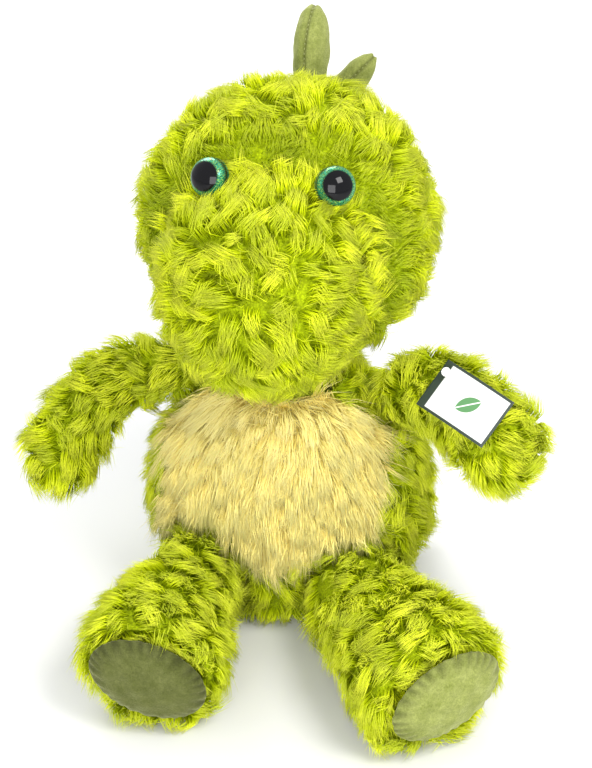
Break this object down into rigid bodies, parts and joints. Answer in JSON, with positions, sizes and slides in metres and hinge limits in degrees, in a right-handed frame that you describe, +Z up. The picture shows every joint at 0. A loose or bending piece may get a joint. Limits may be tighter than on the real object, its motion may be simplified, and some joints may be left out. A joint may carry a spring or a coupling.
{
  "type": "stuffed dinosaur",
  "caption": "Seated plush dinosaur with long-pile fur, a round snout, a cream belly panel, stub arms, legs with soft soles, back spikes and a swing tag.",
  "frame": {"origin": "centre of the flat seat under the body, on the surface the toy sits on", "axes": "+Z up through the head, -Y the way the toy faces, +X towards the toy's left side"},
  "size_m": [0.2677, 0.2788, 0.2836],
  "materials": {
    "fur": "long curled pile",
    "belly_fur": "long straight pile",
    "velour": "short pile",
    "filling": "loose fibre",
    "pouch": "plain weave",
    "pellets": "matte",
    "eye_lens": "gloss",
    "eye_iris": "glitter",
    "nylon": "satin",
    "card": "coated card",
    "label": "satin"
  },
  "bodies": {
    "torso": {"body_cover": "fur", "belly_panel": "belly_fur", "body_filling": "filling", "pellet_pouch": "pouch", "pellets": "pellets", "care_label": "label"},
    "neck": {"neck_filling": "filling"},
    "head": {"head_cover": "fur", "muzzle_cover": "fur", "head_filling": "filling", "eye_lens_left": "eye_lens", "eye_lens_right": "eye_lens", "eye_iris_left": "eye_iris", "eye_iris_right": "eye_iris", "eye_post_left": "nylon", "eye_post_right": "nylon", "eye_washer_left": "nylon", "eye_washer_right": "nylon"},
    "arm_left": {"arm_left_cover": "fur", "arm_left_filling": "filling", "tag_pin": "nylon"},
    "arm_right": {"arm_right_cover": "fur", "arm_right_filling": "filling"},
    "leg_left": {"leg_left_cover": "fur", "leg_left_filling": "filling", "sole_left": "velour"},
    "leg_right": {"leg_right_cover": "fur", "leg_right_filling": "filling", "sole_right": "velour"},
    "tail": {"tail_cover": "fur", "tail_filling": "filling"},
    "tag": {"tag_card": "card"},
    "spike_1": {"spike_1_crown": "velour", "spike_1_crown_filling": "filling"},
    "spike_2": {"spike_2_crown": "velour", "spike_2_crown_filling": "filling"},
    "spike_3": {"spike_3_nape": "velour", "spike_3_nape_filling": "filling"},
    "spike_4": {"spike_4_back": "velour", "spike_4_back_filling": "filling"},
    "spike_5": {"spike_5_tail": "velour", "spike_5_tail_filling": "filling"}
  },
  "joints": [
    {"name": "neck_nod", "type": "hinge", "parent": "torso", "child": "neck", "pos_m": [0, -0.002, 0.124], "axis": [1, 0, 0], "range_deg": [-8, 10], "stiffness_Nm_per_rad": 1.2},
    {"name": "neck_turn", "type": "hinge", "parent": "neck", "child": "head", "pos_m": [0, -0.002, 0.124], "axis": [0, 0, 1], "range_deg": [-15, 15], "stiffness_Nm_per_rad": 0.5},
    {"name": "shoulder_right_lift", "type": "hinge", "parent": "torso", "child": "arm_right", "pos_m": [-0.0595, 0, 0.113], "axis": [0, 1, 0], "range_deg": [-8, 45], "stiffness_Nm_per_rad": 0.5},
    {"name": "shoulder_left_lift", "type": "hinge", "parent": "torso", "child": "arm_left", "pos_m": [0.0595, -0.004, 0.118], "axis": [0, -1, 0], "range_deg": [-18, 20], "stiffness_Nm_per_rad": 0.5},
    {"name": "hip_right_lift", "type": "hinge", "parent": "torso", "child": "leg_right", "pos_m": [-0.036, -0.0565, 0.029], "axis": [-0.9985, -0.0552, 0], "range_deg": [-6, 8], "stiffness_Nm_per_rad": 0.9},
    {"name": "hip_left_lift", "type": "hinge", "parent": "torso", "child": "leg_left", "pos_m": [0.046, -0.0525, 0.029], "axis": [-0.8056, -0.5925, 0], "range_deg": [-6, 12], "stiffness_Nm_per_rad": 0.9},
    {"name": "tail_wag", "type": "hinge", "parent": "torso", "child": "tail", "pos_m": [0, 0.06, 0.031], "axis": [0, 0, 1], "range_deg": [-12, 12], "stiffness_Nm_per_rad": 0.4},
    {"name": "spike_1_flop", "type": "hinge", "parent": "head", "child": "spike_1", "pos_m": [-0.0033, 0.05201, 0.24829], "axis": [-0.0386, 0.6308, -0.775], "range_deg": [-20, 20], "stiffness_Nm_per_rad": 0.03},
    {"name": "spike_2_flop", "type": "hinge", "parent": "head", "child": "spike_2", "pos_m": [-0.00417, 0.06624, 0.2207], "axis": [-0.0164, 0.2679, -0.9633], "range_deg": [-35, 4], "stiffness_Nm_per_rad": 0.03},
    {"name": "spike_3_flop", "type": "hinge", "parent": "torso", "child": "spike_3", "pos_m": [0, 0.0538, 0.10423], "axis": [0, 0.5308, -0.8475], "range_deg": [-18, 18], "stiffness_Nm_per_rad": 0.02},
    {"name": "spike_4_flop", "type": "hinge", "parent": "torso", "child": "spike_4", "pos_m": [0, 0.06672, 0.0708], "axis": [0, 0.1898, -0.9818], "range_deg": [-18, 18], "stiffness_Nm_per_rad": 0.02},
    {"name": "spike_5_flop", "type": "hinge", "parent": "tail", "child": "spike_5", "pos_m": [0, 0.09275, 0.04921], "axis": [0, 0.8905, -0.4551], "range_deg": [-15, 15], "stiffness_Nm_per_rad": 0.01},
    {"name": "tag_swing", "type": "hinge", "parent": "arm_left", "child": "tag", "pos_m": [0.08559, -0.04433, 0.15013], "axis": [-0.8808, 0.4299, 0.1986], "range_deg": [0, 35]}
  ]
}
